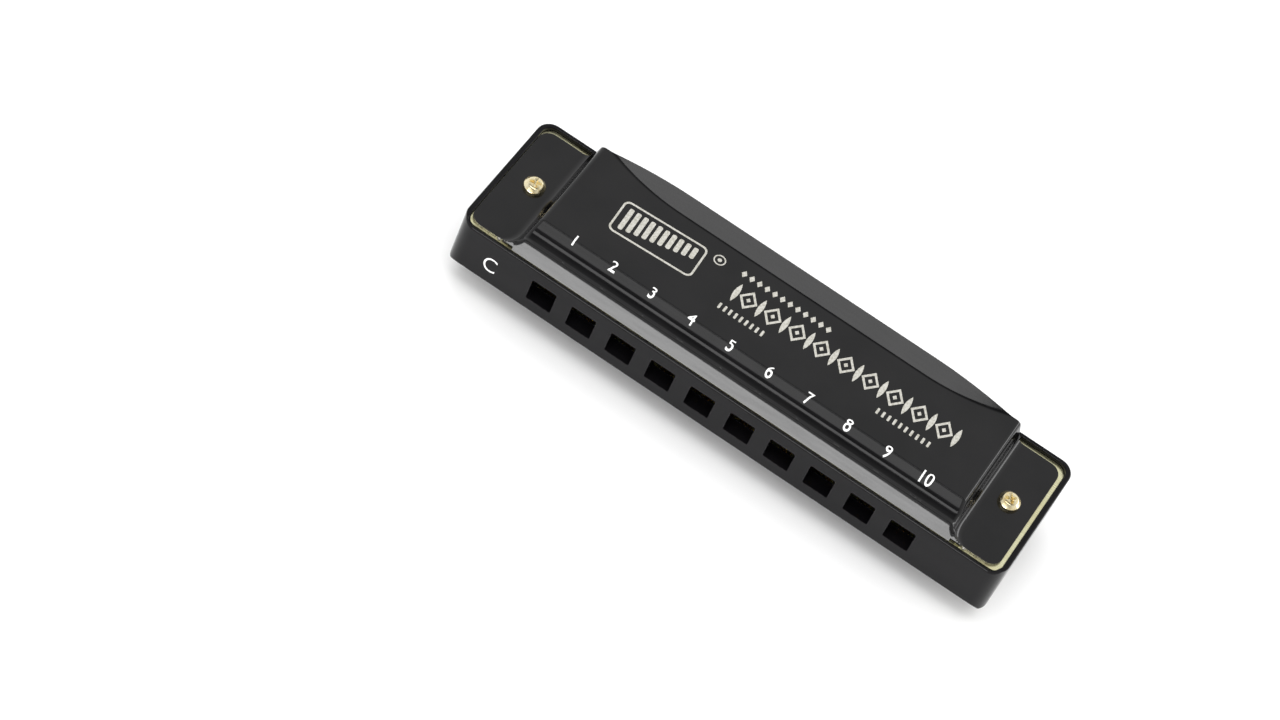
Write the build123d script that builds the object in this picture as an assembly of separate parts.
"""Ten-hole diatonic harmonica with a moulded comb, brass reed plates and pressed metal covers.

All sizes are in millimetres. Pieces are drawn in a working frame: X runs along the hole row (hole 1 at -X),
Y runs from the mouthpiece face (0) to the back, and Z is measured from the comb's middle plane.
export_piece() then moves each piece so that the origin is the centre of the foot of the overall box.
"""
import os
from math import hypot

from build123d import *

# Comb
hole_count = 10
hole_pitch = 7.5
hole_width = 4.6
hole_height = 4.7
hole_corner_radius = 0.3
comb_length = 101.6
comb_depth = 26.5
comb_height = 11.5
comb_corner_radius = 2.6
comb_edge_radius = 0.35
bevel_depth = 1.0
bevel_height = 1.15
bevel_radius = 0.5
rim_side = 0.95
rim_back = 0.7
rim_front = 0.55
pocket_back_radius = 2.0
pocket_front_radius = 1.5
pocket_edge_radius = 0.2
mouth_wall = 3.0
channel_width = 5.0
channel_end_clearance = 0.7

# Reed plates
plate_thickness = 0.9
plate_top = 4.95
plate_clearance = 0.06

# Reeds: hole 1 has the longest and widest, hole 10 the shortest and narrowest
reed_length_low = 15.6
reed_length_high = 8.9
reed_width_low = 2.3
reed_width_high = 1.9
reed_thickness = 0.25
reed_weight_thickness = 0.12
reed_weight_share = 0.24
weighted_reeds = 4
reed_side_clearance = 0.07
reed_tip_clearance = 0.12
reed_root_gap = 0.04
pad_length = 2.4
pad_width = 2.9
pad_thickness = 0.35
blow_root_y = 5.9
draw_tip_y = 4.3

# Rivets that hold the reeds
rivet_radius = 0.5
rivet_head_radius = 0.85
rivet_head_height = 0.3
rivet_foot_radius = 0.7
rivet_foot_height = 0.12

# Covers
sheet = 0.4
cover_shift_x = -0.3
cover_half_length = 49.45
cover_front_y = 0.7
cover_rear_y = 25.4
tab_front_y = 1.0
tab_rear_y = 25.15
tab_corner_radius = 2.1
tab_inner_radius = 2.2
body_half_length = 41.0
body_corner_radius = 0.8
end_wall_lean = 1.15
shoulder_radius = 0.7
fold_radius = 0.45
crown_z = 8.9
lip_top = (2.11, 7.01)
valley = (2.94, 6.85)
slope_knee = (4.45, 7.17)
front_crease_y = 6.03
section_radii = [0.45, 1.0, 3.2, 0.35]
flare_crease_y = 22.48
flare_rise = 1.65
flare_half_length = 23.0
flare_corner_radius = 40.0

# Fasteners
cover_screw_x = 45.0
cover_screw_y = 13.4
cover_screw_radius = 1.0
cover_screw_clearance = 0.1
cover_hole_radius = 1.45
cover_head_radius = 1.85
cover_head_height = 1.2
cover_recess_width = 0.5
cover_recess_length = 2.2
cover_recess_depth = 0.75
nut_across_flats = 4.0
nut_height = 1.5
screw_end_margin = 0.3
plate_screw_places = [(-38.3, 5.2), (38.3, 5.2), (0.0, 24.0)]
plate_screw_radius = 0.8
plate_screw_length = 3.2
plate_head_radius = 1.3
plate_head_height = 0.7
plate_slot_width = 0.35
plate_slot_depth = 0.35

rim_top = comb_height / 2
plate_bottom = plate_top - plate_thickness
tab_top = plate_top + sheet
flare_top = crown_z + flare_rise
flare_slope = flare_rise / (cover_rear_y - flare_crease_y)
overlap = 1.0


def hole_x(number):
    """Centre of a hole, counted from 1."""
    return (number - (hole_count + 1) / 2) * hole_pitch


def graded(low, high, number):
    """A size that runs evenly from hole 1 to the last hole."""
    return low + (high - low) * (number - 1) / (hole_count - 1)


def reed_length(number):
    return graded(reed_length_low, reed_length_high, number)


def reed_width(number):
    return graded(reed_width_low, reed_width_high, number)


def channel_end_y(number):
    return blow_root_y + reed_length(number) + channel_end_clearance


def draw_root_y(number):
    return draw_tip_y + reed_length(number)


def block(x_range, y_range, z_range):
    """A box given by its low and high coordinates."""
    size = [high - low for low, high in (x_range, y_range, z_range)]
    centre = [(high + low) / 2 for low, high in (x_range, y_range, z_range)]
    return Pos(*centre) * Box(*size)


def rod(x, y, radius, z_low, z_high):
    """An upright round bar."""
    return Pos(x, y, (z_low + z_high) / 2) * Cylinder(radius, z_high - z_low)


def turned_over(shape):
    """The same piece on the lower side: mirrored in the comb's middle plane."""
    return mirror(shape, about=Plane.XY)


def pocket_outline(clearance):
    """Outline of the recess for a reed plate, smaller by the clearance: wide curves at the back corners only."""
    half = comb_length / 2 - rim_side - clearance
    front = rim_front + clearance
    back = comb_depth - rim_back - clearance
    sketch = Pos(0, (front + back) / 2) * Rectangle(2 * half, back - front)
    sketch = fillet(sketch.vertices().group_by(Axis.Y)[-1], pocket_back_radius)
    return fillet(sketch.vertices().group_by(Axis.Y)[0], pocket_front_radius)


def comb_blank():
    """The moulded bar with round corners, soft edges and a bevel above and below the mouthpiece face."""
    outline = Pos(0, comb_depth / 2) * RectangleRounded(comb_length, comb_depth, comb_corner_radius)
    blank = extrude(outline, amount=rim_top, both=True)
    rim_edges = blank.edges().filter_by_position(Axis.Z, rim_top - 0.01, rim_top + 0.01)
    foot_edges = blank.edges().filter_by_position(Axis.Z, -rim_top - 0.01, -rim_top + 0.01)
    blank = fillet(rim_edges + foot_edges, comb_edge_radius)
    bevel_z = rim_top - bevel_height
    slope = bevel_height / bevel_depth
    corners = [(-overlap, bevel_z - overlap * slope), (2, bevel_z + 2 * slope), (-overlap, bevel_z + 2 * slope)]
    wedge = extrude(Plane.YZ * make_face(Polyline(*corners, close=True)), amount=comb_length, both=True)
    blank = blank - wedge - turned_over(wedge)
    edges = blank.edges().filter_by(Axis.X).filter_by_position(Axis.Y, -0.01, 0.01)
    return fillet(edges, bevel_radius)


def pocket_rim(body):
    """Upper edges of the plate recess at its sides and back, where the rim stands at full height."""
    edges = body.edges().filter_by_position(Axis.Z, rim_top - 0.01, rim_top + 0.01)
    inner_x = comb_length / 2 - rim_side + 0.01
    inner_y = comb_depth - rim_back + 0.01
    return edges.filter_by(lambda edge: abs(edge.center().X) < inner_x and bevel_depth < edge.center().Y < inner_y)


def comb():
    """The comb: ten channels, a recess for a reed plate on each side, and the fastener holes."""
    body = comb_blank()
    pocket = Pos(0, 0, plate_bottom) * extrude(pocket_outline(0), amount=rim_top)
    body = fillet(pocket_rim(body - pocket), pocket_edge_radius)
    body = turned_over(fillet(pocket_rim(turned_over(body - turned_over(pocket))), pocket_edge_radius))
    for number in range(1, hole_count + 1):
        x = hole_x(number)
        mouth = RectangleRounded(hole_width, hole_height, hole_corner_radius)
        mouth = Pos(x, mouth_wall / 2, 0) * Rot(90, 0, 0) * extrude(mouth, amount=mouth_wall / 2 + 0.5, both=True)
        half = channel_width / 2
        channel = block((x - half, x + half), (mouth_wall, channel_end_y(number)), (-rim_top, rim_top))
        ends = channel.edges().filter_by(Axis.Z).group_by(Axis.Y)[-1]
        body = body - mouth - fillet(ends, 1.0)
    for x in (-cover_screw_x, cover_screw_x):
        body -= rod(x, cover_screw_y, cover_screw_radius + cover_screw_clearance, -rim_top, rim_top)
    for x, y in plate_screw_places:
        hole = rod(x, y, plate_screw_radius, plate_bottom - plate_screw_length, rim_top)
        body = body - hole - turned_over(hole)
    return body


def reed_plate(root_y, direction):
    """A brass plate drawn on the upper side. Slots run from root_y(number) in the given Y direction."""
    plate = Pos(0, 0, plate_bottom) * extrude(pocket_outline(plate_clearance), amount=plate_thickness)
    cut_z = (plate_bottom - overlap, plate_top + overlap)
    for number in range(1, hole_count + 1):
        x = hole_x(number)
        half = reed_width(number) / 2 + reed_side_clearance
        root = root_y(number)
        tip = root + direction * (reed_length(number) + reed_tip_clearance)
        plate -= block((x - half, x + half), (min(root, tip), max(root, tip)), cut_z)
        plate -= rod(x, root - direction * pad_length / 2, rivet_radius, *cut_z)
    for x in (-cover_screw_x, cover_screw_x):
        plate -= rod(x, cover_screw_y, cover_screw_radius + cover_screw_clearance, *cut_z)
    for x, y in plate_screw_places:
        plate -= rod(x, y, plate_screw_radius, *cut_z)
    return plate


def reed_tongue(number, root, direction, face_z, outward):
    """The free part of one reed. face_z is the plate's face, and outward (+1 or -1) points away from the plate."""
    x = hole_x(number)
    half = reed_width(number) / 2
    tip = root + direction * reed_length(number)
    start = root + direction * reed_root_gap
    far_z = face_z + outward * reed_thickness
    y_range = (min(start, tip), max(start, tip))
    tongue = block((x - half, x + half), y_range, (min(face_z, far_z), max(face_z, far_z)))
    if number <= weighted_reeds:
        inner = tip - direction * reed_length(number) * reed_weight_share
        weight_z = far_z + outward * reed_weight_thickness
        y_range = (min(inner, tip), max(inner, tip))
        tongue += block((x - half, x + half), y_range, (min(far_z, weight_z), max(far_z, weight_z)))
    return tongue


def reed_pads(root_y, direction, face_z, outward):
    """The riveted feet of one plate's ten reeds."""
    pads = []
    for number in range(1, hole_count + 1):
        x = hole_x(number)
        root = root_y(number)
        heel = root - direction * pad_length
        far_z = face_z + outward * pad_thickness
        y_range = (min(root, heel), max(root, heel))
        z_range = (min(face_z, far_z), max(face_z, far_z))
        pad = block((x - pad_width / 2, x + pad_width / 2), y_range, z_range)
        pad = chamfer(pad.edges().filter_by(Axis.Z), 0.4)
        pads.append(pad - rod(x, root - direction * pad_length / 2, rivet_radius, *z_range))
    return Compound(pads)


def rivets(root_y, direction, face_z, outward):
    """Ten rivets: a round head on the reed's foot, and a flat one on the plate's other face."""
    pieces = []
    for number in range(1, hole_count + 1):
        x = hole_x(number)
        y = root_y(number) - direction * pad_length / 2
        head_z = face_z + outward * pad_thickness
        back_z = face_z - outward * plate_thickness
        head_end = head_z + outward * rivet_head_height
        foot_end = back_z - outward * rivet_foot_height
        shank = rod(x, y, rivet_radius, min(head_z, back_z), max(head_z, back_z))
        head = rod(x, y, rivet_head_radius, min(head_z, head_end), max(head_z, head_end))
        head = fillet(head.edges().sort_by(Axis.Z)[-1 if outward > 0 else 0], rivet_head_height * 0.7)
        foot = rod(x, y, rivet_foot_radius, min(back_z, foot_end), max(back_z, foot_end))
        pieces.append(shank + head + foot)
    return Compound(pieces)


def inset(points, distance):
    """Corners of an open outline moved to its right by a distance, keeping each run parallel."""
    shifted = []
    for (ay, az), (by, bz) in zip(points, points[1:]):
        length = hypot(by - ay, bz - az)
        ny = (bz - az) / length
        nz = -(by - ay) / length
        shifted.append(((ay + ny * distance, az + nz * distance), (by - ay, bz - az)))
    corners = [shifted[0][0]]
    for ((py, pz), (dy, dz)), ((qy, qz), (ey, ez)) in zip(shifted, shifted[1:]):
        share = ((qy - py) * ez - (qz - pz) * ey) / (dy * ez - dz * ey)
        corners.append((py + dy * share, pz + dz * share))
    (start_y, start_z), (dy, dz) = shifted[-1]
    corners.append((start_y + dy, start_z + dz))
    return corners


def cover_section(thickness, rear_y):
    """Bar with the cover's front-to-back section: lip, groove, slope and crown. Inset by the thickness."""
    foot_z = plate_top - overlap
    crown_end = (rear_y, crown_z)
    points = [(cover_front_y, plate_top), lip_top, valley, slope_knee, (front_crease_y, crown_z), crown_end]
    turns = [1, -1, -1, 1]
    points = inset(points, thickness)
    radii = [max(radius - turn * thickness, 0.08) for radius, turn in zip(section_radii, turns)]
    skin = FilletPolyline(*points, radius=radii)
    back = Polyline(points[-1], (points[-1][0], foot_z), (points[0][0], foot_z), points[0])
    return extrude(Plane.YZ * make_face(skin + back), amount=body_half_length + overlap, both=True)


def cover_ends(thickness):
    """Bar with the end-on shape: leaning end walls with round shoulders at the crown."""
    foot = body_half_length - thickness
    lean = end_wall_lean / (crown_z - plate_top)
    top_z = crown_z - thickness
    top = foot - lean * (top_z - plate_top)
    corners = [(-foot - lean, plate_top - overlap), (-top, top_z), (top, top_z), (foot + lean, plate_top - overlap)]
    skin = FilletPolyline(*corners, radius=shoulder_radius - thickness / 2)
    face = make_face(skin + Line(corners[-1], corners[0]))
    return extrude(Plane.XZ * face, amount=comb_depth + 10, both=True)


def cover_plan(thickness):
    """Block with the raised part's outline from above: its two front corners are round."""
    half = body_half_length - thickness
    front = cover_front_y + thickness / 2
    sketch = Pos(0, front + comb_depth / 2) * Rectangle(2 * half, comb_depth)
    sketch = fillet(sketch.vertices().group_by(Axis.Y)[0], body_corner_radius)
    return extrude(sketch, amount=comb_height + overlap)


def flare(drop, rear_y):
    """The part of the cover that rises to the arched rear edge: a slope whose two ends are cone sectors."""
    z = crown_z - drop
    run = rear_y - flare_crease_y + overlap
    corners = [(flare_crease_y, z), (flare_crease_y + run, z + run * flare_slope), (flare_crease_y + run, z)]
    middle = extrude(Plane.YZ * make_face(Polyline(*corners, close=True)), amount=flare_half_length, both=True)
    rise = run * flare_slope
    centre_y = flare_crease_y + flare_corner_radius
    cone = Pos(flare_half_length, centre_y, z + rise / 2)
    cone = cone * Cone(flare_corner_radius, flare_corner_radius - run, rise)
    window = block(
        (flare_half_length, flare_half_length + flare_corner_radius),
        (flare_crease_y - overlap, flare_crease_y + run),
        (z, z + rise),
    )
    end = cone & window
    limit = block((-comb_length, comb_length), (0, rear_y), (0, comb_height * 2))
    return (middle + end + mirror(end, about=Plane.YZ)) & limit


def raised_body(thickness, rear_y):
    """Solid of the cover's raised part, its outside for a thickness of 0 and its inside for the sheet's."""
    solid = cover_section(thickness, rear_y) & cover_ends(thickness) & cover_plan(thickness)
    return solid + flare(thickness, rear_y)


def tab():
    """The flat tab at the +X end, from the foot of the end wall to its rounded outer corners."""
    inner = body_half_length - sheet
    width = cover_half_length - inner
    depth = tab_rear_y - tab_front_y
    sketch = Pos(inner + width / 2, tab_front_y + depth / 2) * Rectangle(width, depth)
    outer = sketch.vertices().group_by(Axis.X)[-1]
    sketch = fillet(outer, tab_corner_radius)
    inner_front = sketch.vertices().group_by(Axis.X)[0].sort_by(Axis.Y)[0]
    sketch = fillet(inner_front, tab_inner_radius)
    return Pos(0, 0, plate_top) * extrude(sketch, amount=sheet)


def cover():
    """The upper cover: one pressed sheet with a raised body, open at the back, and a tab at each end."""
    above_plate = Pos(0, 0, plate_top) * Box(comb_length, 4 * comb_depth, comb_height, align=Align.MIN)
    above_plate = Pos(-comb_length / 2, -comb_depth, 0) * above_plate
    shell = (raised_body(0.0, cover_rear_y) - raised_body(sheet, cover_rear_y + overlap)) & above_plate
    side = tab()
    shell = shell + side + mirror(side, about=Plane.YZ)
    folds = shell.edges().filter_by(Axis.Y)
    folds = folds.filter_by_position(Axis.Z, tab_top - 0.01, tab_top + 0.01)
    folds = folds.filter_by(lambda edge: abs(abs(edge.center().X) - body_half_length) < end_wall_lean)
    shell = fillet(folds, fold_radius)
    for x in (-cover_screw_x, cover_screw_x):
        shell -= rod(x, cover_screw_y, cover_hole_radius, plate_top - overlap, tab_top + overlap)
    return Pos(cover_shift_x, 0, 0) * shell


def cover_screws():
    """Two pan-head cross-recess screws that clamp the covers, plates and comb together."""
    pieces = []
    for x in (-cover_screw_x, cover_screw_x):
        end_z = -tab_top - nut_height - screw_end_margin
        shank = rod(x, cover_screw_y, cover_screw_radius, end_z, tab_top)
        head = rod(x, cover_screw_y, cover_head_radius, tab_top, tab_top + cover_head_height)
        head = fillet(head.edges().sort_by(Axis.Z)[-1], cover_head_height * 0.6)
        recess_z = tab_top + cover_head_height - cover_recess_depth / 2
        recess = Box(cover_recess_length, cover_recess_width, cover_recess_depth)
        recess = Pos(x, cover_screw_y, recess_z) * (recess + Rot(0, 0, 90) * recess)
        pieces.append(shank + head - recess)
    return Compound(pieces)


def cover_nuts():
    """Two hexagon nuts under the lower cover's tabs."""
    pieces = []
    for x in (-cover_screw_x, cover_screw_x):
        hexagon = RegularPolygon(nut_across_flats / 2, 6, major_radius=False)
        nut = Pos(x, cover_screw_y, -tab_top - nut_height) * extrude(hexagon, amount=nut_height)
        bore = rod(x, cover_screw_y, cover_screw_radius, -tab_top - nut_height, -tab_top)
        pieces.append(nut - bore)
    return Compound(pieces)


def plate_screws():
    """Three small slotted screws that fix the upper reed plate to the comb."""
    pieces = []
    for x, y in plate_screw_places:
        shank = rod(x, y, plate_screw_radius, plate_bottom - plate_screw_length, plate_top)
        head = rod(x, y, plate_head_radius, plate_top, plate_top + plate_head_height)
        head = fillet(head.edges().sort_by(Axis.Z)[-1], plate_head_height * 0.5)
        slot_z = plate_top + plate_head_height - plate_slot_depth / 2
        slot = Pos(x, y, slot_z) * Box(2 * plate_head_radius, plate_slot_width, plate_slot_depth)
        pieces.append(shank + head - slot)
    return Compound(pieces)


def blow_root_line(number):
    """Root of a blow reed: every blow reed starts at the same distance behind the mouthpiece."""
    return blow_root_y


def export_piece(shape, name):
    """Move a piece into the object's frame and write it."""
    placed = Pos(0, -comb_depth / 2, flare_top) * shape
    export_step(placed, f"parts/{name}.step")


os.makedirs("parts", exist_ok=True)

export_piece(comb(), "comb")

# Blow reeds hang inside the channels, riveted near the mouthpiece. Draw reeds lie on the outside of the
# lower plate, riveted near the back.
export_piece(reed_plate(blow_root_line, 1), "blow_reed_plate")
export_piece(turned_over(reed_plate(draw_root_y, -1)), "draw_reed_plate")
export_piece(reed_pads(blow_root_line, 1, plate_bottom, -1), "blow_reed_pads")
export_piece(reed_pads(draw_root_y, -1, -plate_top, -1), "draw_reed_pads")
export_piece(rivets(blow_root_line, 1, plate_bottom, -1), "blow_reed_rivets")
export_piece(rivets(draw_root_y, -1, -plate_top, -1), "draw_reed_rivets")
for hole in range(1, hole_count + 1):
    export_piece(reed_tongue(hole, blow_root_y, 1, plate_bottom, -1), f"blow_reed_{hole:02d}")
    export_piece(reed_tongue(hole, draw_root_y(hole), -1, -plate_top, -1), f"draw_reed_{hole:02d}")

upper_cover = cover()
export_piece(upper_cover, "upper_cover")
export_piece(turned_over(upper_cover), "lower_cover")

export_piece(cover_screws(), "cover_screws")
export_piece(cover_nuts(), "cover_nuts")
upper_screws = plate_screws()
export_piece(upper_screws, "blow_plate_screws")
export_piece(turned_over(upper_screws), "draw_plate_screws")
